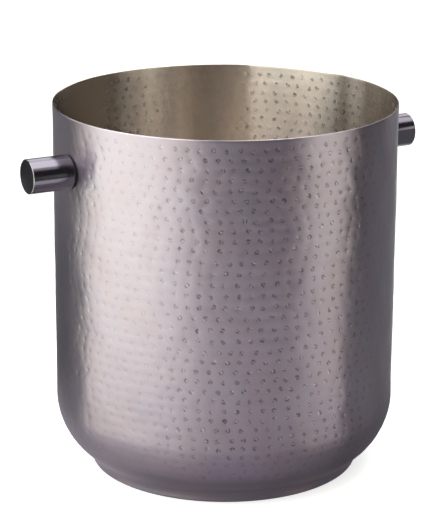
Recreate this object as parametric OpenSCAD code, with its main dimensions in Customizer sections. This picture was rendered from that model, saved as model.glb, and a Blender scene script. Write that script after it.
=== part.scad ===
// Ice bucket: a one-piece spun shell with a stepped-in foot, and two stub
// handles that are bolted through the wall from the inside.
// Millimetres, +Z up, origin on the table under the middle of the bucket.
// The handles lie on the X axis, the left one at -X.

/* [Bucket] */
// Outside diameter of the straight wall
body_d = 202; // [160:1:260]
// Height from the table to the rim
body_h = 220; // [160:1:300]
// Thickness of the sheet metal
wall_t = 1; // [0.6:0.1:2]
// Outside radius of the rounded lower edge
belly_r = 40; // [25:1:60]

/* [Foot] */
// How far the foot stands in from the wall
foot_inset = 21; // [12:0.5:30]
// Height of the foot's upright part, between its bend and the hollow curve
foot_wall = 0.5; // [0.3:0.1:8]
// Outside radius of the hollow curve between the belly and the foot
step_r = 8; // [3:0.5:12]
// Inside radius of the bend at the bottom of the foot
foot_bend_r = 0.5; // [0.2:0.1:0.8]
// Width of the ring that the bucket stands on
foot_ring_w = 9; // [5:1:20]
// Height that the middle of the base is pushed up from the table
base_lift = 1.5; // [0.5:0.1:4]
// Width of the slope from the standing ring to the raised middle
base_slope_w = 8; // [4:1:20]

/* [Handles] */
// Diameter of a handle bar
handle_d = 20; // [18:0.5:30]
// Length of a handle bar
handle_l = 25; // [20:1:60]
// Drop from the rim to the axis of the handles
handle_drop = 31.5; // [18:0.5:80]
// Chamfer round the ends of a handle bar
handle_chamfer = 0.5; // [0.2:0.1:1.5]

/* [Fastening] */
// Diameter of the screw thread
screw_d = 4; // [3:0.5:6]
// Length of thread that is screwed into a handle
screw_grip = 12; // [6:1:15]
// Diameter of the screw head
screw_head_d = 8; // [7:0.5:11]
// Height of the screw head
screw_head_h = 2.8; // [2.4:0.1:4]
// Radius of the rounded edge of the screw head
screw_head_r = 1.4; // [0.5:0.1:2]
// Width of a slot of the cross recess
recess_w = 1.1; // [0.8:0.1:1.4]
// Tip to tip length of the cross recess
recess_l = 4.4; // [3:0.2:5]
// Depth of the cross recess
recess_depth = 1.5; // [1:0.1:1.8]
// Thickness of the gasket under a handle, at its middle
gasket_t = 0.5; // [0.3:0.1:1.2]
// How far the gasket's edge sits in from the handle's edge
gasket_inset = 0.4; // [0.2:0.1:1]
// Diameter of the washer inside the wall
washer_d = 9; // [8:0.5:14]
// Thickness of the washer inside the wall, at its middle
washer_t = 1; // [0.8:0.1:2]
// Depth of the countersink at the mouth of the handle's thread
thread_sink = 0.6; // [0.3:0.1:1.2]
// Depth of the threaded hole beyond the tip of the screw
thread_runout = 2; // [1:0.5:3]

/* [Clearances] */
// Radial clearance round the screw in the wall, the gasket and the washer
hole_gap = 0.3; // [0.1:0.05:0.6]
// Radial clearance between the screw and the handle's thread
thread_gap = 0.1; // [0.05:0.05:0.3]
// Clearance between the curved wall and the pieces that seat on it
seat_gap = 0.05; // [0.02:0.01:0.1]

/* [Hidden] */
$fn = 96;

// Steps in which the round stretches of the revolved outlines are drawn
belly_steps = 18;
bend_steps = 6;
lip_steps = 8;
slope_steps = 8;
dome_steps = 6;

// Included angle of the drill point at the bottom of the threaded hole
drill_angle = 118;
// How far a cutter runs past the face that it cuts
cut_past = 1;
// Facets of the columns that cut the thin curved seats
seat_facets = 256;

body_r = body_d / 2;
bore_r = body_r - wall_t;
foot_r = body_r - foot_inset;
foot_edge_r = foot_bend_r + wall_t;
foot_h = foot_edge_r + foot_wall;
ring_inner_r = foot_r - foot_edge_r - foot_ring_w;
lift_edge_r = ring_inner_r - base_slope_w;

// The belly and the hollow curve are two arcs that touch. Their shared tangent
// leans in from the vertical by turn_angle, and that sets how high the belly starts.
turn_angle = acos(1 - foot_inset / (belly_r + step_r));
belly_z = foot_h + (belly_r + step_r) * sin(turn_angle);

// Places along the X axis of the stack that holds a handle, from the inside out
handle_z = body_h - handle_drop;
head_seat_x = bore_r - washer_t;
handle_seat_x = body_r + gasket_t;
screw_tip_x = handle_seat_x + screw_grip;
screw_hole_d = screw_d + 2 * hole_gap;
thread_hole_d = screw_d + 2 * thread_gap;
thread_depth = screw_grip + thread_runout;
drill_point_h = thread_hole_d / 2 / tan(drill_angle / 2);
gasket_d = handle_d - 2 * gasket_inset;

// Points on an arc round a centre, from one angle to another
function arc(centre, r, from, to, steps) =
    [for (i = [0:steps])
        let (a = from + (to - from) * i / steps)
        centre + r * [cos(a), sin(a)]];

function reversed(points) =
    [for (i = [len(points) - 1:-1:0]) points[i]];

// One face of the sheet as [radius, height] points, from the bottom of the lip
// to the middle of the base. depth is how far the face lies inside the outer one.
function sheet_face(depth) = concat(
    arc([body_r - belly_r, belly_z], belly_r - depth, 0, -turn_angle, belly_steps),
    arc([foot_r + step_r, foot_h], step_r + depth, 180 - turn_angle, 180, belly_steps),
    arc([foot_r - foot_edge_r, foot_edge_r], foot_edge_r - depth, 0, -90, bend_steps),
    base_slope(depth),
    [[0, base_lift + depth]]
);

// The slope from the standing ring up to the raised middle, as half a cosine wave
function base_slope(depth) =
    [for (i = [0:slope_steps])
        let (s = i / slope_steps)
        [ring_inner_r + (lift_edge_r - ring_inner_r) * s,
         depth + base_lift * (1 - cos(180 * s)) / 2]];

// The rounded lip that joins the two faces at the rim
function rim_lip() =
    arc([body_r - wall_t / 2, body_h - wall_t / 2], wall_t / 2, 180, 0, lip_steps);

// Stands an upright shape of revolution on its side, so that its +Z points along +X
// at the height of the handles, starting from the given X.
module along_handle_axis(x) {
    translate([x, 0, handle_z])
        rotate([0, 90, 0])
            children();
}

// Places a piece of the right-hand stack on one side of the bucket
module on_side(side) {
    rotate([0, 0, side == "left" ? 180 : 0])
        children();
}

// Upright column of the wall's own curvature, for cutting the seats that lie on it
module wall_column(r) {
    translate([0, 0, handle_z - handle_d])
        cylinder(r = r, h = 2 * handle_d, $fn = seat_facets);
}

module bucket_shell() {
    color("#8f878d")
        difference() {
            rotate_extrude()
                polygon(concat(sheet_face(0), reversed(sheet_face(wall_t)), rim_lip()));
            for (side = ["left", "right"])
                on_side(side)
                    along_handle_axis(bore_r - cut_past)
                        cylinder(d = screw_hole_d, h = wall_t + 2 * cut_past);
        }
}

// Turned bar with chamfered ends and a blind threaded hole for the screw
module handle(side) {
    color("#4a474e")
        on_side(side)
            along_handle_axis(handle_seat_x)
                difference() {
                    rotate_extrude()
                        polygon([
                            [0, 0],
                            [handle_d / 2 - handle_chamfer, 0],
                            [handle_d / 2, handle_chamfer],
                            [handle_d / 2, handle_l - handle_chamfer],
                            [handle_d / 2 - handle_chamfer, handle_l],
                            [0, handle_l]
                        ]);
                    thread_cutter();
                }
}

// The threaded hole with its countersink and the point that the drill leaves
module thread_cutter() {
    rotate_extrude()
        polygon([
            [0, -cut_past],
            [thread_hole_d / 2 + thread_sink + cut_past, -cut_past],
            [thread_hole_d / 2, thread_sink],
            [thread_hole_d / 2, thread_depth],
            [0, thread_depth + drill_point_h]
        ]);
}

// Rubber gasket: flat under the handle, hollowed to the outside of the wall
module gasket(side) {
    color("#18171a")
        on_side(side)
            difference() {
                along_handle_axis(bore_r)
                    cylinder(d = gasket_d, h = handle_seat_x - bore_r);
                wall_column(body_r + seat_gap);
                along_handle_axis(bore_r - cut_past)
                    cylinder(d = screw_hole_d, h = wall_t + gasket_t + 2 * cut_past);
            }
}

// Washer inside the bucket: flat under the screw head, crowned to the inside of the wall
module washer(side) {
    color("#b9b6ae")
        on_side(side)
            difference() {
                intersection() {
                    along_handle_axis(head_seat_x)
                        cylinder(d = washer_d, h = washer_t + cut_past);
                    wall_column(bore_r - seat_gap);
                }
                along_handle_axis(head_seat_x - cut_past)
                    cylinder(d = screw_hole_d, h = washer_t + 2 * cut_past);
            }
}

// Pan-head screw: its head lies inside the bucket and its thread ends in the handle
module screw(side) {
    color("#c6c3bc")
        on_side(side)
            difference() {
                union() {
                    along_handle_axis(head_seat_x - screw_head_h)
                        pan_head();
                    along_handle_axis(head_seat_x - screw_head_h / 2)
                        cylinder(d = screw_d, h = screw_tip_x - head_seat_x + screw_head_h / 2);
                }
                along_handle_axis(head_seat_x - screw_head_h - cut_past)
                    cross_recess();
            }
}

// The head's top lies at zero and its flat underside at screw_head_h
module pan_head() {
    rotate_extrude()
        polygon(concat(
            [[0, screw_head_h], [0, 0]],
            arc([screw_head_d / 2 - screw_head_r, screw_head_r], screw_head_r, -90, 0, dome_steps),
            [[screw_head_d / 2, screw_head_h]]
        ));
}

module cross_recess() {
    for (turn = [45, 135])
        rotate([0, 0, turn])
            translate([-recess_l / 2, -recess_w / 2, 0])
                cube([recess_l, recess_w, recess_depth + cut_past]);
}

bucket_shell();
handle("left");  // left_handle
handle("right");  // right_handle
gasket("left");  // left_gasket
gasket("right");  // right_gasket
washer("left");  // left_washer
washer("right");  // right_washer
screw("left");  // left_screw
screw("right");  // right_screw
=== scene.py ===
# %% [markdown]
# # A hammered ice bucket
# The bucket is one sheet of metal, spun to a straight wall with a round belly and a small
# foot, then struck all round with rows of small hammer marks. Two stub handles are bolted
# through the wall. The frame holds the true sizes of every piece, so this lesson only has
# to give the pieces their finish, and to replace the plain sheet by a hammered one.

import bpy
import numpy as np
from mathutils import Matrix, Vector


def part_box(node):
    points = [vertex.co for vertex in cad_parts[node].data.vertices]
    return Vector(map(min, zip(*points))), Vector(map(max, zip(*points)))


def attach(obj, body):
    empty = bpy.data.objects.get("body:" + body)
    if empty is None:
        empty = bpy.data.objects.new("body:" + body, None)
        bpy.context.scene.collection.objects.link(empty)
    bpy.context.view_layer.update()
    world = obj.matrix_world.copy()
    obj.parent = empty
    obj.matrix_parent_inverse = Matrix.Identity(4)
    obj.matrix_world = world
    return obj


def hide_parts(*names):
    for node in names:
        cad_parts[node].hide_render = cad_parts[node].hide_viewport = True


MM = 0.001
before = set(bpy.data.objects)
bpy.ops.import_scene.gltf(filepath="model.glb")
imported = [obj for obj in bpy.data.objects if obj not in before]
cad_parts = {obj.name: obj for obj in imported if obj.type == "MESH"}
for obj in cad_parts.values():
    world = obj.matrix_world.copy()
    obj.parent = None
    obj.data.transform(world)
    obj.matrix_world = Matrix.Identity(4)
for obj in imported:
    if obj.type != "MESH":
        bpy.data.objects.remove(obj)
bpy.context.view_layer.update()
print("nodes:", sorted(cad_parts))

# %% [markdown]
# ## The sheet's own shape
# Seen from the side, the sheet is a line made of a few stretches: the wall, the belly's
# arc, a hollow arc that turns back to the upright foot, a tight bend, the ring that stands
# on the table, and a gentle slope up to the raised middle of the base. The lesson keeps
# the line as a function of its own length, with the direction that points out of the
# metal, because a hammer strikes along that direction wherever it lands.

# %% Read the sizes
shell_low, shell_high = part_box("bucket_shell")
WALL_R = min(shell_high.x, shell_high.y)
RIM_Z = shell_high.z
SHEET_T = 1.0 * MM
BELLY_R = 40 * MM
STEP_R = 8 * MM
FOOT_INSET = 21 * MM
FOOT_R = WALL_R - FOOT_INSET
FOOT_H = 2 * MM
BEND_R = 1.5 * MM
RING_W = 9 * MM
SLOPE_W = 8 * MM
BASE_LIFT = 1.5 * MM

TURN = np.arccos(1 - (WALL_R - FOOT_R) / (BELLY_R + STEP_R))
BELLY_Z = FOOT_H + (BELLY_R + STEP_R) * np.sin(TURN)
RING_OUT_R = FOOT_R - BEND_R
RING_IN_R = RING_OUT_R - RING_W
LIFT_R = RING_IN_R - SLOPE_W

WALL_L = RIM_Z - SHEET_T / 2 - BELLY_Z
BELLY_L = BELLY_R * TURN
STEP_L = STEP_R * TURN
FOOT_L = FOOT_H - BEND_R
BEND_L = BEND_R * np.pi / 2
ENDS = np.cumsum([WALL_L, BELLY_L, STEP_L, FOOT_L, BEND_L, RING_W, SLOPE_W, LIFT_R])
print(f"wall {WALL_R / MM:.1f} mm radius, sheet line {ENDS[-1] / MM:.1f} mm long")


def sheet_line(s):
    """Radius, height and outward direction (radial and upward part) of the outer face at length s.

    s is measured from the lower edge of the lip, down the wall and in to the middle of the
    base. Each stretch is a straight line or an arc, so s turns into a distance or an angle.
    """
    wall, belly, step, foot, bend, ring, slope = ENDS[:-1]
    fall = (s - wall) / BELLY_R
    rise = TURN - (s - belly) / STEP_R
    turn = (s - foot) / BEND_R
    half_wave = np.pi * (s - ring) / SLOPE_W
    here = [s < wall, s < belly, s < step, s < foot, s < bend, s < ring, s < slope]
    r = np.select(here, [
        WALL_R + 0 * s,
        WALL_R - BELLY_R + BELLY_R * np.cos(fall),
        FOOT_R + STEP_R - STEP_R * np.cos(rise),
        FOOT_R + 0 * s,
        RING_OUT_R + BEND_R * np.cos(turn),
        RING_OUT_R - (s - bend),
        RING_IN_R - (s - ring),
    ], LIFT_R - (s - slope))
    z = np.select(here, [
        RIM_Z - SHEET_T / 2 - s,
        BELLY_Z - BELLY_R * np.sin(fall),
        FOOT_H + STEP_R * np.sin(rise),
        FOOT_H - (s - step),
        BEND_R - BEND_R * np.sin(turn),
        0 * s,
        BASE_LIFT * (1 - np.cos(half_wave)) / 2,
    ], BASE_LIFT)
    lean = np.select(here[:5], [0 * s, fall, rise, 0 * s, turn], np.pi / 2)
    return r, z, np.cos(lean), -np.sin(lean)


# %% [markdown]
# ## Rows of hammer marks
# On the real bucket each mark is a crisp little crater, and the sheet round it is pushed
# a little out of true, which is what makes reflections wobble. A bump texture could fake
# both, but marks in the mesh also show in the outline. A mesh fine enough everywhere
# would be huge, so the grid is drawn together round each mark: five lines across it and
# five along it, all carried by the mark's own centre. They make two rings about the
# centre, one inside the crater and one at its border.
#
# No two blows are alike. Each mark has its own place, depth and tilt, and each of its points
# its own share of the dent and of the dark in the crater: dirt that polishing leaves there,
# with painted shade for the dark that a crater mirrors. Here and there a point is a painted
# glint instead, a bright highlight painted into the colour.

# %% Place the marks
MARKS_ROUND = 88
ROW_PITCHES = np.array([5.7, 6.5, 5.8, 5.2]) * MM
ROW_COUNTS = [10, 9, 9, 5]
FIRST_ROW = 5.2 * MM
MARK_R = 1.8 * MM
MARK_RINGS = np.array([0, 0.92, 1.8]) * MM
LINES = 5
# How far marks stray, as a share of their pitch round the bucket and as a length down it
ROUND_SPREAD, ROUND_LIMIT = 0.08, 0.19
DOWN_SPREAD, DOWN_LIMIT = 0.35 * MM, 0.8 * MM
TILT_SPREAD = np.radians(0.5)
DEPTH_RANGE = (0.5, 1.3)
DENT_RANGE = (0.3, 1.5)
# Most points of a mark have little dirt and painted shade and some are full of it; the lowest rows have
# less
DIRT_AND_SHADE_GAIN = 1.7
DIRT_AND_SHADE_RANGE = (0.65, 1.0)
DIRT_AND_SHADE_LOWEST = 0.45
FADE_L = 20 * MM
# Share of painted glints at a mark's centre, on its inner ring and on its border
GLINT_SHARE = np.array([0.2, 0.06, 0])

lattice = np.arange(LINES) - LINES // 2
lattice_down, lattice_across = np.meshgrid(lattice, lattice, indexing="ij")
lattice_ring = np.maximum(abs(lattice_down), abs(lattice_across))
lattice_angle = np.arctan2(lattice_across, lattice_down)
STENCIL_DOWN = MARK_RINGS[lattice_ring] * np.cos(lattice_angle)
STENCIL_ACROSS = MARK_RINGS[lattice_ring] * np.sin(lattice_angle)

row_drop = FIRST_ROW + np.append(0, np.cumsum(np.repeat(ROW_PITCHES, ROW_COUNTS)))
ROWS = len(row_drop)
MARK_PITCH = 2 * np.pi / MARKS_ROUND
marks_shape = (ROWS, MARKS_ROUND)
points_shape = (ROWS, MARKS_ROUND, LINES, LINES)

rng = np.random.default_rng(7)
row_shift = np.cumsum(rng.uniform(-0.5, 0.5, ROWS))
stray = rng.normal(0, ROUND_SPREAD, marks_shape).clip(-ROUND_LIMIT, ROUND_LIMIT)
mark_round = (np.arange(MARKS_ROUND) + row_shift[:, None] + stray) * MARK_PITCH
mark_down = row_drop[:, None] + rng.normal(0, DOWN_SPREAD, marks_shape).clip(-DOWN_LIMIT, DOWN_LIMIT)
mark_depth = rng.uniform(*DEPTH_RANGE, marks_shape)
mark_tilt = rng.normal(0, TILT_SPREAD, (2, *marks_shape))
# Dirt and painted shade at every point of a mark, less in the lowest rows
point_dirt_and_shade = np.minimum(DIRT_AND_SHADE_GAIN * rng.uniform(0, 1, points_shape) ** 2, 1)
mark_dirt_and_shade = np.clip((row_drop[-1] - row_drop) / FADE_L, DIRT_AND_SHADE_LOWEST, 1)[:, None]
mark_dirt_and_shade = mark_dirt_and_shade * rng.uniform(*DIRT_AND_SHADE_RANGE, marks_shape)
# Some points become painted glints, bright highlights in the colour
point_glint = np.where(rng.uniform(0, 1, points_shape) < GLINT_SHARE[lattice_ring], -1, 0)
point_dent = rng.uniform(*DENT_RANGE, points_shape)
print(f"{ROWS} rows of {MARKS_ROUND} marks")


# %% [markdown]
# ## One face of the sheet
# Hammering leaves the sheet between the marks uneven too, in slow waves. The waves and the
# marks both push the metal inwards from its true surface, never outwards, so that the
# bucket stays within its size. The same blows show on both faces of the sheet, and each
# face has its own amount of everything: the inside is flatter and its marks are shallower.

# %% Strike the sheet
WAVES = 26
WAVE_TURNS = (8, 46)
WAVE_LENGTHS = (16, 70)
WAVE_SLOPE = 0.0042
WAVE_SINK = 0.12 * MM
CALM_W = 14 * MM
# More than 1 keeps the middle of a faded place evenly pale
LIGHT_FADE_GAIN = 1.5


def sheet_wobble(around, s, unrest):
    """Slow unevenness of the hammered sheet: a sum of waves that close round the bucket.

    Each wave is a cosine of a whole number of turns round the bucket plus a share of the
    length s, with its own start. Its height is its slope over its own wave number, so long
    and short waves tilt the metal alike. The sum fades to nothing near the rim and the foot.
    unrest scales all the waves.
    """
    waves = np.random.default_rng(11)
    turns = waves.integers(*WAVE_TURNS, WAVES)
    pace = 2 * np.pi / (waves.uniform(*WAVE_LENGTHS, WAVES) * MM) * waves.choice([-1, 1], WAVES)
    start = waves.uniform(0, 2 * np.pi, WAVES)
    height = WAVE_SINK + 0 * s
    for n, k, a in zip(turns, pace, start):
        height = height + unrest * WAVE_SLOPE / np.hypot(n / WALL_R, k) * np.cos(n * around + k * s + a)
    calm = np.clip(np.minimum(s, row_drop[-1] + CALM_W / 2 - s) / CALM_W, 0, 1)
    return np.maximum(height, 0) * calm**2 * (3 - 2 * calm)


def dirt_and_shade_left(light_fades):
    """Share of its dirt and painted shade that each mark keeps.

    Every mark has its own share. Each faded place, where the marks are painted paler to
    follow the light, is given as (direction, half width, loss), with both angles in degrees
    and 0 along +X. It takes away its loss in its middle, and less and less towards its borders.
    """
    share = mark_dirt_and_shade
    for place, half, loss in light_fades:
        off = (np.degrees(mark_round) - place + 180) % 360 - 180
        weight = (1 + np.cos(np.pi * np.clip(off / half, -1, 1))) / 2
        share = share * (1 - loss * np.minimum(LIGHT_FADE_GAIN * weight, 1))
    return share


def hammered_rows(depth, bowl, unrest, ring_dirt_and_shade, glints, light_fades):
    """Points of the hammered stretch of one face, as (row line, line round, xyz), and the marks' dirt and
    painted light.

    A mark's stencil point lies at the mark's centre plus the stencil's own offsets. It is
    pushed in along the outward direction by the mark's bowl, (1 - q^2)^2 of its depth with
    q the distance from the centre over the mark's radius, by the mark's own small tilt,
    and by the slow wobble. depth is how far the face lies inside the outer one.

    The second value is 1 where a point is full of dirt and painted shade, and negative where it is a
    painted glint.
    """
    down, across = STENCIL_DOWN, STENCIL_ACROSS
    q = np.hypot(down, across) / MARK_R
    dish = np.where(q < 1, (1 - q**2) ** 2, 0)
    s = mark_down[..., None, None] + down
    r, z, out, up = sheet_line(s)
    around = mark_round[..., None, None] + across / r
    push = bowl * mark_depth[..., None, None] * point_dent * dish
    tilt = mark_tilt[0][..., None, None] * down + mark_tilt[1][..., None, None] * across
    push = push + unrest * tilt + sheet_wobble(around, s, unrest)
    push = np.maximum(push, 0) + depth
    r, z = r - push * out, z - push * up
    # The marks' dark is dirt and painted shade; negative points are painted glints
    dirt_and_painted_light = point_dirt_and_shade * np.array(ring_dirt_and_shade)[lattice_ring] + glints * point_glint
    dirt_and_painted_light = np.where(q < 1, dirt_and_painted_light * dirt_and_shade_left(light_fades)[..., None, None], 0)
    points = np.stack([r * np.cos(around), r * np.sin(around), z], -1)
    points = points.transpose(0, 2, 1, 3, 4).reshape(ROWS * LINES, MARKS_ROUND * LINES, 3)
    dirt_and_painted_light = dirt_and_painted_light.transpose(0, 2, 1, 3).reshape(ROWS * LINES, MARKS_ROUND * LINES)
    return points, dirt_and_painted_light


def plain_rows(r, z, row):
    """Rings at the given radii and heights, with the lines round where a hammered row has them."""
    around = (np.arange(MARKS_ROUND)[:, None] + row_shift[row]) * MARK_PITCH
    around = (around + MARK_RINGS[abs(lattice)] * np.sign(lattice) / WALL_R).ravel()[None, :]
    r, z = np.asarray(r)[:, None], np.asarray(z)[:, None]
    return np.stack([r * np.cos(around), r * np.sin(around), z + 0 * around], -1)


# %% [markdown]
# ## From rings to a mesh
# A spun sheet and a turned bar are both stacks of rings about an axis. So a few helpers
# serve both: one joins neighbouring rings by quads, one closes a last ring to a point, and
# one makes the mesh. Numbers that a finish needs later are kept at the points of the mesh.

# %% Join rings
def tube_faces(rows, columns, first):
    """Quads between neighbouring rings, closed round; ring i starts at first + i * columns."""
    i, j = np.meshgrid(np.arange(rows - 1), np.arange(columns), indexing="ij")
    k = (j + 1) % columns
    a, b = first + i * columns, first + (i + 1) * columns
    return np.stack([a + j, b + j, b + k, a + k], -1).reshape(-1, 4)


def fan_faces(ring, pole, columns):
    """Triangles from a ring's points to the single point at its middle."""
    j = np.arange(columns)
    k = (j + 1) % columns
    return np.stack([ring + j, 0 * j + pole, ring + k], -1)


def new_piece(name, points, blocks, turned_in=False):
    """A smooth mesh at the origin, from blocks of faces, which are turned over when turned_in is true."""
    faces = []
    for block in blocks:
        faces += block[:, ::-1 if turned_in else 1].tolist()
    mesh = bpy.data.meshes.new(name)
    mesh.from_pydata(points.tolist(), [], faces)
    mesh.polygons.foreach_set("use_smooth", np.ones(len(mesh.polygons), bool))
    mesh.update()
    piece = bpy.data.objects.new(name, mesh)
    bpy.context.scene.collection.objects.link(piece)
    triangles = sum(len(block) * (block.shape[1] - 2) for block in blocks)
    print(f"{name}: {len(points)} points, {triangles} triangles")
    return piece


def point_values(piece, name, values):
    """Store one number per point on the mesh, where a material can read it by name."""
    attribute = piece.data.attributes.new(name, "FLOAT", "POINT")
    attribute.data.foreach_set("value", np.asarray(values, np.float32))


# %% [markdown]
# ## Two closed skins
# The inside of the bucket has a warmer colour than the outside, and a mesh with every mark
# on both faces is heavy, so the sheet is made of two closed skins that meet at the middle of
# its thickness: their joint runs along the crest of the lip, where the colour changes anyway.
# Each skin is one stack of rings: down its own face from the lip to the base, and back up
# along the middle of the sheet, which nobody sees and which can be coarse.

# %% Close a skin
MID_DEPTH = SHEET_T / 2
SKIN_GAP = 0.01 * MM
LIP_STEPS = 4
# Where the plain sheet ends above the marks and starts again below them
TOP_END = row_drop[0] - MARK_RINGS[-1] - 0.9 * MM
LOW_START = row_drop[-1] + MARK_RINGS[-1] + 1.2 * MM
# Rings on each stretch: above the marks, from the belly on below them, and on the middle face
TOP_STEPS = [2]
LOW_STEPS = [3, 7, 1, 4, 1, 5, 1]
MID_STEPS = [1, 6, 3, 1, 2, 1, 3, 1]


def spans(start, ends, steps):
    """Lengths along the sheet line from start on, in the given steps up to each end in turn."""
    starts = np.append(start, ends[:-1])
    stretches = [np.linspace(*stretch, endpoint=False) for stretch in zip(starts, ends, steps)]
    return np.concatenate(stretches)


def offset_line(s, depth):
    """The sheet line moved into the metal by depth."""
    r, z, out, up = sheet_line(s)
    return r - depth * out, z - depth * up


def lip_line(side):
    """A quarter of the round lip, from its crest; side is 1 for the outside and -1 for the inside."""
    angle = np.linspace(np.pi / 2, 0, LIP_STEPS, endpoint=False)
    r = WALL_R - SHEET_T / 2 + side * (SHEET_T / 2 * np.cos(angle) + SKIN_GAP / 2)
    return r, RIM_Z - SHEET_T / 2 + SHEET_T / 2 * np.sin(angle)


def skin_faces(own, back, columns):
    """Faces of a skin whose own face has own rings and whose middle face has back rings after them.

    The poles of the two faces follow the last ring. The seam joins the last ring to the first.
    """
    count = (own + back) * columns
    first = np.arange(columns)
    last = first + count - columns
    return [
        tube_faces(own, columns, 0),
        fan_faces((own - 1) * columns, count, columns),
        fan_faces(own * columns, count + 1, columns)[:, ::-1],
        tube_faces(back, columns, own * columns),
        np.stack([last, first, np.roll(first, -1), np.roll(last, -1)], -1),
    ]


def skin(name, outside, bowl, unrest, ring_dirt_and_shade, glints, light_fades):
    """One closed skin of the sheet: its own face from the lip's crest in to the base, then the middle face.

    bowl is the depth of a mark and unrest the amount of wobble. The next three give the dirt
    and painted shade at a mark's centre, on its inner ring and on its border, how bright its
    painted glints are, and the places where the marks are painted paler to follow the light.
    """
    depth = 0 if outside else SHEET_T
    side = 1 if outside else -1
    mid_depth = MID_DEPTH - side * SKIN_GAP / 2
    marks, dirt_and_painted_light = hammered_rows(depth, bowl, unrest, ring_dirt_and_shade, glints, light_fades)
    lip = plain_rows(*lip_line(side), 0)
    top = plain_rows(*offset_line(spans(0, [TOP_END], TOP_STEPS), depth), 0)
    low = plain_rows(*offset_line(spans(LOW_START, ENDS[1:], LOW_STEPS), depth), -1)
    back = plain_rows(*offset_line(spans(0, ENDS, MID_STEPS)[::-1], mid_depth), -1)
    rings = np.concatenate([lip, top, marks, low, back])
    poles = [[0, 0, BASE_LIFT + depth], [0, 0, BASE_LIFT + mid_depth]]
    points = np.concatenate([rings.reshape(-1, 3), poles])
    columns = MARKS_ROUND * LINES
    blocks = skin_faces(len(rings) - len(back), len(back), columns)
    piece = new_piece(name, points, blocks, turned_in=not outside)
    dirt_and_light_values, edge = np.zeros((2, len(points)))
    start = (len(lip) + len(top)) * columns
    dirt_and_light_values[start:start + dirt_and_painted_light.size] = dirt_and_painted_light.ravel()
    # The lip is rubbed bright, and the brightness also paints its highlight line
    edge[:len(lip) * columns] = 1
    point_values(piece, "dirt_and_painted_light", dirt_and_light_values)
    point_values(piece, "edge", edge)
    return piece


# %% [markdown]
# ## Where the marks fade
# The dark in the craters is dirt together with painted shade, so it is faded where the
# studio's light would hide the marks: outside under the broad highlight and along both dark
# edges, inside where the wall stays dim. There the craters are painted nearly clean and
# hardly show, and elsewhere they stay dark. The fading could be spread by noise, but a few
# faded places, each with a direction round the bucket, say plainly where it goes.

# %% Make both skins
# Places where the marks are painted paler to follow the light: under the broad highlight and at both dark
# edges outside, in the dim parts inside
OUTSIDE_LIGHT_FADES = [(-157, 35, 0.72), (-194, 32, 0.95), (-46, 30, 0.97)]
INSIDE_LIGHT_FADES = [(69, 27, 0.9), (122, 28, 0.9), (-8, 24, 0.9), (89, 15, 0.6)]
shell_outside = skin("shell_outside", True, bowl=0.14 * MM, unrest=1.0,
                     ring_dirt_and_shade=[0.2, 1, 0], glints=1.0, light_fades=OUTSIDE_LIGHT_FADES)
shell_inside = skin("shell_inside", False, bowl=0.08 * MM, unrest=0.35,
                    ring_dirt_and_shade=[1.2, 1.5, 0], glints=0.3, light_fades=INSIDE_LIGHT_FADES)
for piece in (shell_outside, shell_inside):
    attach(piece, "root")
    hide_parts("bucket_shell")

# %% [markdown]
# ## The stub handles
# Each handle is a short bar from the lathe: a flat seat with a countersunk blind hole for
# the screw, a plain barrel, and a flat outer end with a fine chamfer that catches the light
# as a bright line; the chamfer's edge value also paints that highlight into the colour,
# together with its wear. A lathe turns a profile about an axis, and so does this cell.
# Extra profile points close to every edge keep the shading crisp there.

# %% Turn the bars
BAR_SIDES = 128
BAR_R = 10 * MM
BAR_L = 25 * MM
CHAMFER = 0.3 * MM
SEAT_CHAMFER = 0.12 * MM
HOLD = 0.08 * MM
HOLE_R = 2.1 * MM
HOLE_L = 14 * MM
DRILL_L = 1.26 * MM
SINK = 0.6 * MM


def bar_profile():
    """Distance from the seat, radius and edge value, wear with painted highlight, along the bar's outline,
    hole first, end face last.
    """
    return np.array([
        (HOLE_L, HOLE_R, 0), (HOLE_L - HOLD, HOLE_R, 0), (SINK + HOLD, HOLE_R, 0),
        (SINK, HOLE_R, 0.3), (0, HOLE_R + SINK, 0.6), (0, HOLE_R + SINK + HOLD, 0),
        (0, BAR_R - SEAT_CHAMFER - HOLD, 0), (0, BAR_R - SEAT_CHAMFER, 0.7),
        (SEAT_CHAMFER, BAR_R, 0.7), (SEAT_CHAMFER + HOLD, BAR_R, 0),
        (3 * CHAMFER, BAR_R, 0), (BAR_L / 2, BAR_R, 0), (BAR_L - 3 * CHAMFER, BAR_R, 0),
        (BAR_L - CHAMFER - HOLD, BAR_R, 0), (BAR_L - CHAMFER, BAR_R, 1),
        (BAR_L - CHAMFER + HOLD, BAR_R - HOLD, 1), (BAR_L - HOLD, BAR_R - CHAMFER + HOLD, 1),
        (BAR_L, BAR_R - CHAMFER, 1), (BAR_L, BAR_R - CHAMFER - HOLD, 0),
        (BAR_L, 0.7 * BAR_R, 0), (BAR_L, 0.35 * BAR_R, 0),
    ]).T


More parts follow.
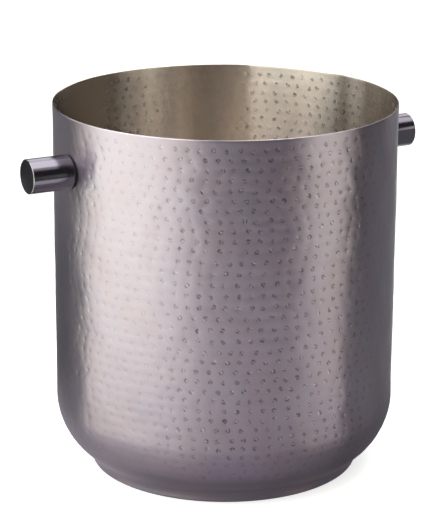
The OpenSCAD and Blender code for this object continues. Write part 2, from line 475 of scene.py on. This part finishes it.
def turned_bar(name, side):
    """A bar turned about the X axis from its seat outwards; side is -1 for the left one."""
    low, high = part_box(name)
    seat = low.x if side > 0 else high.x
    axis_z = (low.z + high.z) / 2
    along, radius, wear_and_highlight = bar_profile()
    angle = np.linspace(0, 2 * np.pi, BAR_SIDES, endpoint=False)
    rings = np.stack([
        seat + side * along[:, None] + 0 * angle,
        radius[:, None] * np.cos(angle),
        axis_z + radius[:, None] * np.sin(angle),
    ], -1)
    poles = [[seat + side * (HOLE_L + DRILL_L), 0, axis_z], [seat + side * BAR_L, 0, axis_z]]
    points = np.concatenate([rings.reshape(-1, 3), poles])
    count = len(rings) * BAR_SIDES
    blocks = [
        tube_faces(len(rings), BAR_SIDES, 0)[:, ::-1],
        fan_faces(0, count, BAR_SIDES),
        fan_faces(count - BAR_SIDES, count + 1, BAR_SIDES)[:, ::-1],
    ]
    bar = new_piece(name + "_bar", points, blocks, turned_in=side < 0)
    point_values(bar, "edge", np.append(np.repeat(wear_and_highlight, BAR_SIDES), [0, 0]))
    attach(bar, "root")
    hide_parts(name)
    return bar


bars = [turned_bar("left_handle", -1), turned_bar("right_handle", 1)]

# %% [markdown]
# ## Effects that several finishes share
# Spun and turned metal keeps very fine lines from the tool, an old finish is never one
# even tone, and handled edges are rubbed bright; the bright edges also paint the highlight
# lines along the lip and the bars' chamfers. Each of these could be drawn again in every
# material, but a node group is built once and placed with its own values, and then a change
# reaches every metal piece at once. The groups give only masks between 0 and 1, and each
# material decides what a mask does to its colour, its roughness or its bump.

# %% Build the shared groups
LINKED = bpy.types.NodeSocket
RUB_SCALE = 90.0


def add(tree, kind, inputs=(), **settings):
    """Place a node: settings are its own options, inputs its values or the sockets that feed it."""
    node = tree.nodes.new("ShaderNode" + kind)
    for option, value in settings.items():
        setattr(node, option, value)
    for name, value in dict(inputs).items():
        if isinstance(value, LINKED):
            tree.links.new(value, node.inputs[name])
        else:
            node.inputs[name].default_value = value
    return node


def mask_group(name, output, *inputs):
    """An empty group with named inputs, given as (name, kind), and one number as its output."""
    group = bpy.data.node_groups.new(name, "ShaderNodeTree")
    for label, kind in inputs:
        group.interface.new_socket(label, in_out="INPUT", socket_type="NodeSocket" + kind)
    group.interface.new_socket(output, in_out="OUTPUT", socket_type="NodeSocketFloat")
    return group, group.nodes.new("NodeGroupInput").outputs, group.nodes.new("NodeGroupOutput").inputs


def noise_mask(group, vector, scale, detail, low, high):
    """Noise stretched so that its values from low to high fill 0 to 1."""
    noise = add(group, "TexNoise", {"Vector": vector, "Scale": scale, "Detail": detail})
    spread = add(group, "MapRange", {"Value": noise.outputs[0], "From Min": low, "From Max": high})
    return spread.outputs[0]


tool_lines, given, result = mask_group("tool lines", "Line", ("Vector", "Vector"), ("Fineness", "Float"))
lines = noise_mask(tool_lines, given["Vector"], given["Fineness"], detail=3.0, low=0.3, high=0.7)
tool_lines.links.new(lines, result["Line"])

slow_mottle, given, result = mask_group("slow mottle", "Mottle", ("Vector", "Vector"), ("Scale", "Float"))
mottle = noise_mask(slow_mottle, given["Vector"], given["Scale"], detail=2.0, low=0.36, high=0.64)
slow_mottle.links.new(mottle, result["Mottle"])

# Edge wear, which also paints the bright highlight lines of the lip and the chamfers
rubbed_and_lit_edge, given, result = mask_group("rubbed and lit edge", "Wear and highlight", ("Edge", "Float"), ("Vector", "Vector"))
weight = noise_mask(rubbed_and_lit_edge, given["Vector"], RUB_SCALE, detail=3.0, low=0.2, high=0.6)
wear_and_highlight = add(rubbed_and_lit_edge, "Math", {0: given["Edge"], 1: weight}, operation="MULTIPLY")
rubbed_and_lit_edge.links.new(wear_and_highlight.outputs[0], result["Wear and highlight"])
print("groups:", [group.name for group in (tool_lines, slow_mottle, rubbed_and_lit_edge)])


# %% [markdown]
# ## How a metal is mixed
# All the metals here are made alike: two tones that drift into each other, tool lines that
# lift the surface a little, bright edges, and dirt in the marks if there are any. Where a
# lathe leaves its lines all round, reflections are drawn out up and down. That is an
# anisotropic gloss, which the shader gives directly, so no mesh has to carry the lines.

# %% Mix the metals
MOTTLE_SCALE = 45.0
LINE_LIFT = 0.02 * MM
LINE_TONE = 0.04
LINE_SHADE = (0.5, 0.5, 0.5, 1)
DIRT_ROUGH = 0.1
GLINT_TONE = (0.8, 0.78, 0.76, 1)
GLINT_SHINE = 0.28
UP_AND_DOWN = 0.25


def value_of(material, label):
    """A number that the mesh keeps at its points."""
    return add(material.node_tree, "Attribute", attribute_name=label).outputs["Fac"]


def placed(material, group, **inputs):
    """One of the shared groups, placed in a material; its only output."""
    return add(material.node_tree, "Group", inputs, node_tree=group).outputs[0]


def blend(material, mask, one, other, how="MIX"):
    """Colour that goes from one to other where the mask goes from 0 to 1."""
    mix = add(material.node_tree, "Mix", {0: mask, 6: one, 7: other}, data_type="RGBA", blend_type=how)
    return mix.outputs[2]


def shifted(material, mask, amount, base):
    """base plus amount times the mask."""
    inputs = {0: mask, 1: amount, 2: base}
    return add(material.node_tree, "Math", inputs, operation="MULTIPLY_ADD").outputs[0]


def stretched(material, scale):
    """Object coordinates, scaled along each axis: a small scale draws a pattern out."""
    coordinates = add(material.node_tree, "TexCoord").outputs["Object"]
    mapping = add(material.node_tree, "Mapping", {"Vector": coordinates, "Scale": scale})
    return mapping.outputs[0]


def new_finish(name, metallic):
    """A material with nothing on it yet, and its shader."""
    material = bpy.data.materials.new(name)
    material.use_nodes = True
    shader = material.node_tree.nodes["Principled BSDF"]
    shader.inputs["Metallic"].default_value = metallic
    return material, shader


def feed(material, shader, colour, rough, height, lift):
    """Join colour, roughness and a bump from height, of strength lift, to the shader."""
    tree = material.node_tree
    bump = add(tree, "Bump", {"Strength": lift, "Distance": LINE_LIFT, "Height": height})
    tree.links.new(colour, shader.inputs["Base Color"])
    tree.links.new(rough, shader.inputs["Roughness"])
    tree.links.new(bump.outputs[0], shader.inputs["Normal"])


def dressed_metal(name, tones, bright, line_scale, fineness, roughness,
                  dirt_and_painted_light=None, stretch=0.0, line_bump=0.1):
    """A tooled metal: two tones that drift, fine lines, rubbed edges that also paint highlight
    lines and, if given, marks darkened with dirt and painted shade.

    roughness is (mean, share of the lines, share of the mottle). The lines also lift the
    surface a little, and darken the tone by up to two per cent. stretch is how far reflections
    are drawn out. Where a mark's value at a point is negative, a painted glint shows.
    """
    material, shader = new_finish(name, metallic=1)
    even = stretched(material, (1, 1, 1))
    line = placed(material, tool_lines, Vector=stretched(material, line_scale), Fineness=fineness)
    mottle = placed(material, slow_mottle, Vector=even, Scale=MOTTLE_SCALE)
    wear_and_highlight = placed(material, rubbed_and_lit_edge, Edge=value_of(material, "edge"), Vector=even)
    colour = blend(material, mottle, (*tones[0], 1), (*tones[1], 1))
    colour = blend(material, shifted(material, line, LINE_TONE, 0.0), colour, LINE_SHADE, "MULTIPLY")
    # Rubbed edges, bright enough to paint the highlight lines too
    colour = blend(material, wear_and_highlight, colour, (*bright, 1))
    mean, by_line, by_mottle = roughness
    rough = shifted(material, line, by_line, mean - by_line / 2 - by_mottle / 2)
    rough = shifted(material, mottle, by_mottle, rough)
    if dirt_and_painted_light:
        # Marks darkened with dirt and painted shade
        mark_dirt_and_light = value_of(material, "dirt_and_painted_light")
        colour = blend(material, mark_dirt_and_light, colour, (*dirt_and_painted_light, 1))
        # Negative values paint bright glints into the colour
        colour = blend(material, shifted(material, mark_dirt_and_light, -GLINT_SHINE, 0.0), colour, GLINT_TONE)
        rough = shifted(material, mark_dirt_and_light, DIRT_ROUGH, rough)
    if stretch:
        shader.inputs["Anisotropic"].default_value = stretch
        shader.inputs["Anisotropic Rotation"].default_value = UP_AND_DOWN
    feed(material, shader, colour, rough, line, line_bump)
    return material


# %% [markdown]
# ## The metals
# The outside is a satin gunmetal: a dark plated tone that drifts between purple and grey,
# with the dirt and oxide of the plating left in every hammer mark and painted shade added
# there, and painted glints in some marks. The inside is the same sheet with a warmer, paler
# nickel tone and the same painted marks. The bars carry the plating of the outside, polished,
# with their lines round the bar's own axis. The screws and washers are plain satin steel.

# %% Dress the metal pieces
gunmetal = dressed_metal(
    "satin_gunmetal", tones=[(0.285, 0.245, 0.295), (0.297, 0.246, 0.286)], bright=(0.55, 0.51, 0.52),
    line_scale=(1, 1, 80), fineness=30.0, roughness=(0.38, 0.015, 0.04),
    dirt_and_painted_light=(0.08, 0.07, 0.08), stretch=0.8)
nickel = dressed_metal(
    "warm_nickel", tones=[(0.67, 0.617, 0.555), (0.68, 0.608, 0.538)], bright=(0.7, 0.66, 0.6),
    line_scale=(1, 1, 80), fineness=30.0, roughness=(0.25, 0.006, 0.02),
    dirt_and_painted_light=(0.10, 0.09, 0.08), stretch=1.0)
bar_metal = dressed_metal(
    "polished_gunmetal", tones=[(0.172, 0.163, 0.197), (0.188, 0.17, 0.197)], bright=(0.24, 0.23, 0.25),
    line_scale=(80, 1, 1), fineness=30.0, roughness=(0.16, 0.05, 0.03), line_bump=0.05)
steel = dressed_metal(
    "satin_stainless", tones=[(0.50, 0.48, 0.45), (0.54, 0.52, 0.50)], bright=(0.7, 0.69, 0.67),
    line_scale=(60, 6, 6), fineness=60.0, roughness=(0.3, 0.1, 0.06))

shell_outside.data.materials.append(gunmetal)
shell_inside.data.materials.append(nickel)
for bar in bars:
    bar.data.materials.append(bar_metal)
print("metals:", [metal.name for metal in (gunmetal, nickel, bar_metal, steel)])

# %% [markdown]
# ## The rubber
# A gasket is moulded black rubber: matt, faintly dusty and never quite smooth. Its colour
# follows the same slow mottle as the metals, and a fine noise gives the skin of the mould.
# With it every finish is there, and the pieces that come from the frame get theirs by name.

# %% Mix the rubber
BLOOM_SCALE = 160.0
GRAIN_FINENESS = 2400.0

rubber, rubber_shader = new_finish("gasket_rubber", metallic=0)
rubber_place = stretched(rubber, (1, 1, 1))
bloom = placed(rubber, slow_mottle, Vector=rubber_place, Scale=BLOOM_SCALE)
grain = placed(rubber, tool_lines, Vector=rubber_place, Fineness=GRAIN_FINENESS)
dusty = blend(rubber, bloom, (0.005, 0.005, 0.006, 1), (0.012, 0.011, 0.013, 1))
feed(rubber, rubber_shader, dusty, shifted(rubber, bloom, 0.15, 0.55), grain, lift=0.3)

FINISHES = {"handle": bar_metal, "gasket": rubber, "washer": steel, "screw": steel, "bucket": gunmetal}
for name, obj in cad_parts.items():
    finish = next(FINISHES[word] for word in FINISHES if word in name)
    obj.data.materials.clear()
    obj.data.materials.append(finish)
print("finishes:", sorted({finish.name for finish in FINISHES.values()} | {nickel.name}))

# %% [markdown]
# ## The camera
# The photograph was taken from a little above the rim with a long lens, turned so that one
# handle comes forward and the other goes back. A camera is three directions and a place, so
# the cell works them out from a turn, a tilt and a small roll, and aims at the middle of
# the bucket. The focal length is given in pixels of the photograph, which a lens in
# millimetres follows from.

# %% Set up the camera
VIEW_TURN = np.radians(28.374)
VIEW_TILT = np.radians(16.83)
VIEW_ROLL = np.radians(-0.336)
VIEW_DISTANCE = 1299.4 * MM
VIEW_CENTRE = np.array([-1.337, 0, 124.67]) * MM
FOCAL_PX = 2181.6
IMAGE_H = 512
SENSOR = 36
CLIP_END = 50


def studio(points):
    """Points given in the studio, where the camera looks along +Y, turned into the bucket's frame."""
    x, y, z = np.moveaxis(np.asarray(points, float), -1, 0)
    c, s = np.cos(VIEW_TURN), np.sin(VIEW_TURN)
    return np.stack([c * x + s * y, c * y - s * x, z], -1)


ahead = np.array([0, np.cos(VIEW_TILT), -np.sin(VIEW_TILT)])
up = np.array([0, np.sin(VIEW_TILT), np.cos(VIEW_TILT)])
right = np.array([1.0, 0, 0])
cos_roll, sin_roll = np.cos(VIEW_ROLL), np.sin(VIEW_ROLL)
camera_axes = studio([right * cos_roll - up * sin_roll, right * sin_roll + up * cos_roll, -ahead])
camera_place = studio(VIEW_CENTRE - VIEW_DISTANCE * ahead)

camera = bpy.data.objects.new("camera", bpy.data.cameras.new("camera"))
camera.data.lens = FOCAL_PX / IMAGE_H * SENSOR
camera.data.sensor_width = SENSOR
camera.data.clip_end = CLIP_END
camera_turn = Matrix(camera_axes.tolist()).transposed().to_4x4()
camera.matrix_world = Matrix.Translation(camera_place.tolist()) @ camera_turn
bpy.context.scene.collection.objects.link(camera)
bpy.context.scene.camera = camera
print(f"lens {camera.data.lens:.1f} mm at {VIEW_DISTANCE:.2f} m")

# %% [markdown]
# ## The studio's cloth
# A metal vessel shows little of itself and much of the room, so its room is made with care.
# A maker of catalogue pictures hangs white and grey cloth round such a piece and lights it
# from outside, so that some breadths glow brightly and others stay dim. Lamps alone could do
# it, but the dim breadths matter as much as the bright ones: they draw the dark edges of
# the bucket. Here a cloth is a sheet that glows, with its radiance kept at its points, and
# the camera looks through it.

# %% Weave the cloth
def soft_step(value, edge, width):
    """0 below the edge and 1 above it, with a smooth ramp of the given width across it."""
    t = np.clip((value - edge) / width + 0.5, 0, 1)
    return t * t * (3 - 2 * t)


def cloth_light(azimuth, height, dim, breadths):
    """Radiance of cloth: a dim level plus its breadths, each a window in azimuth times one in height.

    A breadth is where it starts and ends round the bucket, each followed by the width of its
    soft edge, in degrees (0 is the camera's side, positive to its right), then its height from
    and to and the width of both those edges, in metres, and the radiance that it adds. On a
    level cloth the height stands for the radius. A negative radiance is a darker place.
    """
    light = np.zeros((*azimuth.shape, 3)) + dim
    for start, soft_start, end, soft_end, low, high, fade, radiance in breadths:
        middle = (start + end) / 2
        off = (azimuth - middle + 180) % 360 - 180
        window = soft_step(off, start - middle, soft_start) * (1 - soft_step(off, end - middle, soft_end))
        window = window * (1 - soft_step(height, high, fade))
        if low > 0:
            window = window * soft_step(height, low, fade)
        light = light + window[..., None] * np.array(radiance)
    return light


def stage_mesh(name, points, faces):
    """A mesh that belongs to the studio and isn't part of the bucket."""
    mesh = bpy.data.meshes.new(name)
    mesh.from_pydata(points.tolist(), [], faces.tolist())
    thing = bpy.data.objects.new(name, mesh)
    bpy.context.scene.collection.objects.link(thing)
    return thing


def cloth_piece(name, azimuth, radius, z, light):
    """A sheet of glowing cloth, given its points round the bucket as a grid and its radiance at each."""
    angle = np.radians(azimuth)
    points = np.stack([radius * np.sin(angle), -radius * np.cos(angle), z + 0 * angle], -1)
    rows, columns = azimuth.shape
    faces = tube_faces(rows, columns, 0).reshape(rows - 1, columns, 4)[:, :-1]
    sheet = stage_mesh(name, studio(points.reshape(-1, 3)), faces.reshape(-1, 4))
    glow = sheet.data.color_attributes.new("glow", "FLOAT_COLOR", "POINT")
    rgb = light.reshape(-1, 3)
    glow.data.foreach_set("color", np.append(rgb, np.ones((len(rgb), 1)), 1).ravel())
    sheet.data.materials.append(cloth)
    sheet.visible_camera = False
    print(f"{name}: radiance {rgb.min():.2f} to {rgb.max():.2f}")
    return sheet


def hung_cloth(name, radius, heights, rows, arc, dim, breadths=()):
    """An upright sheet along an arc round the bucket, with a column to every degree."""
    start, end = arc
    azimuth, z = np.meshgrid(np.linspace(start, end, end - start + 1), np.linspace(*heights, rows))
    return cloth_piece(name, azimuth, radius, z, cloth_light(azimuth, z, dim, breadths))


def laid_cloth(name, z, radii, rows, arc, dim, breadths=()):
    """A level sheet between two radii along an arc, with a column to every second degree."""
    start, end = arc
    columns = (end - start) // 2 + 1
    azimuth, radius = np.meshgrid(np.linspace(start, end, columns), np.linspace(*radii, rows))
    return cloth_piece(name, azimuth, radius, z, cloth_light(azimuth, radius, dim, breadths))


cloth = bpy.data.materials.new("tent_cloth")
cloth.use_nodes = True
cloth.node_tree.nodes.clear()
shine = add(cloth.node_tree, "Attribute", attribute_name="glow").outputs["Color"]
cloth_glow = add(cloth.node_tree, "Emission", {"Color": shine, "Strength": 1.0})
add(cloth.node_tree, "OutputMaterial", {"Surface": cloth_glow.outputs[0]})
print("cloth:", cloth.name)

# %% [markdown]
# ## The tent
# The tent is a round wall of cloth about the bucket. Since the camera looks down a little,
# the bucket's upright wall mirrors only the tent's lowest part, its inside mirrors cloth
# higher up over the rim, and the round handles mirror even the top. So each breadth of the
# tent can serve one part of the picture.

# %% Hang the tent
TENT_R = 0.5
TENT_H = 1.0
TENT_ROWS = 41
TENT_DIM = (0.06, 0.057, 0.063)
BREADTHS = [
    # The broad light on the left of the bucket's wall
    (-94, 5, -7, 80, 0.0, 0.17, 0.08, (1.51, 1.65, 1.31)),
    (-95, 43, -28, 54, 0.0, 0.30, 0.15, (2.20, 2.43, 1.92)),
    # Faint light from the front, a little purple, on the darker middle of the wall
    (-82, 15, 32, 3, 0.0, 0.10, 0.08, (0.13, 0.13, 0.13)),
    (-10, 20, 32, 12, 0.0, 0.072, 0.05, (0.28, 0.25, 0.32)),
    (-45, 25, -2, 25, 0.0, 0.12, 0.08, (0.03, 0.0, 0.10)),
    # The narrow light on the right of the wall
    (48, 26, 80, 14, 0.07, 0.24, 0.06, (3.10, 3.12, 2.50)),
    # The faint band on the left of the inside
    (56, 8, 65, 2, 0.29, 0.40, 0.06, (1.75, 1.71, 1.63)),
    # The two bright areas on the right of the inside, with a dark stripe between them
    (-92.5, 1, -19.5, 1, 0.30, 1.2, 0.15, (3.60, 3.54, 3.45)),
    (-92.5, 1, -62, 30, 0.30, 1.2, 0.15, (1.00, 0.98, 0.96)),
    (-121, 1, -103, 1, 0.30, 1.2, 0.15, (2.70, 2.67, 2.60)),
    # Higher up, cloth closes the gap between those two, and more stands above the faint band
    (-104, 2, -92, 2, 0.80, 1.2, 0.08, (3.00, 2.96, 2.90)),
    (48, 9, 64, 2, 0.62, 1.2, 0.10, (1.20, 1.17, 1.12)),
    # High cloth behind the bucket, for the upper side of both handles
    (86, 8, 122, 20, 0.70, 1.2, 0.08, (2.40, 2.40, 2.40)),
    (122, 20, 150, 12, 0.70, 1.2, 0.08, (2.50, 2.50, 2.50)),
    (150, 12, 205, 20, 0.42, 1.2, 0.08, (2.30, 2.30, 2.30)),
    (150, 12, 178, 8, 0.36, 0.42, 0.08, (1.60, 1.60, 1.60)),
]
hung_cloth("tent", TENT_R, (0, TENT_H), TENT_ROWS, (-180, 180), TENT_DIM, BREADTHS)

# %% [markdown]
# ## The cards
# Close to the bucket stand grey cards, out of the picture. They hide the tent from the far
# left and right of the wall, which gives the bucket its dark edges against the white, and a
# card on the ground does the same for the belly and the foot. Two small cards are bright:
# one lies on the tent's upper edge and carries on its light on the left, and one stands
# close to the right handle. Cards are there for reflections alone, so they cast no shadow
# and light nothing matt.

# %% Stand the cards
CARD_R = 0.19
CARD_DIM = (0.295, 0.306, 0.315)
CARDS = [
    # Paler towards the back, for the rims of light along both edges of the bucket
    (130, 10, 190, 10, 0.0, 1.0, 0.10, (0.60, 0.59, 0.61)),
    (190, 10, 222, 10, 0.09, 1.0, 0.08, (0.60, 0.59, 0.61)),
    # Paler low down on the right, darker low down on the left
    (72, 6, 92, 10, 0.0, 0.05, 0.04, (0.16, 0.155, 0.165)),
    (232, 10, 263, 4, 0.0, 0.13, 0.05, (-0.12, -0.12, -0.12)),
]
# Where each card starts and ends round the bucket, and its height
CARD_ARCS = {
    "dark_cards": (80, 262, 0.215),
    "middle_card": (262, 268, 0.16),
    "low_card_left": (268, 279, 0.09),
    "low_card_right": (64, 80, 0.13),
}
GROUND_R = (0.079, 0.189)
GROUND_Z = 0.1 * MM
GROUND_ROWS = 34
GROUND_DIM = (0.06, 0.057, 0.063)
GROUND = [
    # Paler on the left and in front, for the belly
    (-130, 30, -45, 50, 0.0, 1.0, 0.10, (0.38, 0.37, 0.39)),
    (-45, 50, 30, 60, 0.096, 1.0, 0.02, (0.38, 0.36, 0.40)),
    (-200, 1, 200, 1, 0.094, 1.0, 0.012, (0.12, 0.115, 0.125)),
    # A paler ring at the foot, so that only the hollow above it is dark
    (-200, 1, 200, 1, 0.0, 0.0875, 0.004, (0.16, 0.155, 0.165)),
    (-200, 1, 20, 50, 0.0, 0.0875, 0.004, (0.14, 0.135, 0.145)),
]
ROOF_R = (0.40, 0.70)
ROOF_ARC = (-100, -40)
ROOF_GLOW = (3.5, 3.45, 3.4)
BAR_CARD_R = 0.16
BAR_CARD_Z = (0.203, 0.215)
BAR_CARD_ARC = (96, 106)
BAR_GLOW = (1.4, 1.36, 1.36)

cards = [hung_cloth(name, CARD_R, (0, high), TENT_ROWS, (start, end), CARD_DIM, CARDS)
         for name, (start, end, high) in CARD_ARCS.items()]
cards.append(laid_cloth("ground_card", GROUND_Z, GROUND_R, GROUND_ROWS, (-180, 180), GROUND_DIM, GROUND))
cards.append(laid_cloth("top_card", TENT_H, ROOF_R, 4, ROOF_ARC, ROOF_GLOW))
cards.append(hung_cloth("bar_card", BAR_CARD_R, BAR_CARD_Z, 3, BAR_CARD_ARC, BAR_GLOW))
for card in cards:
    card.visible_diffuse = False
    card.visible_shadow = False

# %% [markdown]
# ## Top light, floor and backdrop
# A softbox over the tent's open top gives the handles their pale upper band. The floor is a
# plain matt sheet that keeps the bucket's soft shadow. To the eye, and to anything glossy or
# clear that shows it, it also glows: most behind the bucket, less in front, and not at all
# in the middle under it, so that the shadow there stays. The sky is white in the same way,
# and gives everything matt only part of that light.

# %% Light the floor
BOX_PLACE = (0.27, 0.08, 1.0)
BOX_AIM = (0.27, 0.08, 0)
BOX_W = 0.45
BOX_L = 0.9
BOX_RADIANCE = 2.35
FLOOR_HALF = 4.0
FLOOR_FRONT = -0.14
FLOOR_BACK = -0.10
FRONT_GLOW = 0.62
BACK_GLOW = 0.9
FLOOR_NEAR = 0.04
FLOOR_FAR = 0.092
PAPER = (0.6, 0.6, 0.6, 1)
PAPER_ROUGH = 0.9
WHITE = (1, 1, 1, 1)
SKY_GLOW = 0.6


def softbox(name, aim, place, width, height, radiance):
    """A white area lamp of even radiance, given its size and the studio points it stands at and aims at."""
    lamp = bpy.data.lights.new(name, "AREA")
    lamp.shape = "RECTANGLE"
    lamp.size, lamp.size_y = width, height
    lamp.energy = radiance * np.pi * width * height
    box = bpy.data.objects.new(name, lamp)
    bpy.context.scene.collection.objects.link(box)
    start, end = Vector(studio(place)), Vector(studio(aim))
    box.location = start
    box.rotation_euler = (end - start).to_track_quat("-Z", "Y").to_euler()
    return box


def seen_directly(tree):
    """1 for rays from the camera, from a gloss or through glass, and 0 for other light."""
    path = add(tree, "LightPath").outputs
    seen = add(tree, "Math", {0: path["Is Camera Ray"], 1: path["Is Glossy Ray"]}, operation="MAXIMUM")
    seen = add(tree, "Math", {0: seen.outputs[0], 1: path["Is Transmission Ray"]}, operation="MAXIMUM")
    return seen.outputs[0]


softbox("top_softbox", BOX_AIM, BOX_PLACE, BOX_W, BOX_L, BOX_RADIANCE)
corners = np.array([(-1, -1, 0), (1, -1, 0), (1, 1, 0), (-1, 1, 0)])
floor = stage_mesh("floor", FLOOR_HALF * corners, np.array([(0, 1, 2, 3)]))
paper = bpy.data.materials.new("floor_paper")
paper.use_nodes = True
paper_tree = paper.node_tree
paper_shader = paper_tree.nodes["Principled BSDF"]
paper_shader.inputs["Base Color"].default_value = PAPER
paper_shader.inputs["Roughness"].default_value = PAPER_ROUGH
paper_shader.inputs["Emission Color"].default_value = WHITE

floor_place = add(paper_tree, "TexCoord").outputs["Object"]
away = Vector(studio((0, 1, 0)))
depth = add(paper_tree, "VectorMath", {0: floor_place, 1: away}, operation="DOT_PRODUCT")
reach = add(paper_tree, "VectorMath", {0: floor_place}, operation="LENGTH")
backward = {"Value": depth.outputs["Value"], "From Min": FLOOR_FRONT, "From Max": FLOOR_BACK,
            "To Min": FRONT_GLOW, "To Max": BACK_GLOW}
outward = {"Value": reach.outputs["Value"], "From Min": FLOOR_NEAR, "From Max": FLOOR_FAR}
paper_glow = seen_directly(paper_tree)
for ramp in (backward, outward):
    level = add(paper_tree, "MapRange", ramp).outputs[0]
    paper_glow = add(paper_tree, "Math", {0: paper_glow, 1: level}, operation="MULTIPLY").outputs[0]
paper_tree.links.new(paper_glow, paper_shader.inputs["Emission Strength"])
floor.data.materials.append(paper)

world = bpy.data.worlds.new("studio")
bpy.context.scene.world = world
world.use_nodes = True
background = world.node_tree.nodes["Background"]
background.inputs["Color"].default_value = WHITE
sky = {"Value": seen_directly(world.node_tree), "To Min": SKY_GLOW, "To Max": 1.0}
sky_level = add(world.node_tree, "MapRange", sky).outputs[0]
world.node_tree.links.new(sky_level, background.inputs["Strength"])
bpy.context.scene.view_settings.view_transform = "Standard"
print(f"floor glows {FRONT_GLOW} in front and {BACK_GLOW} behind, sky {SKY_GLOW}")
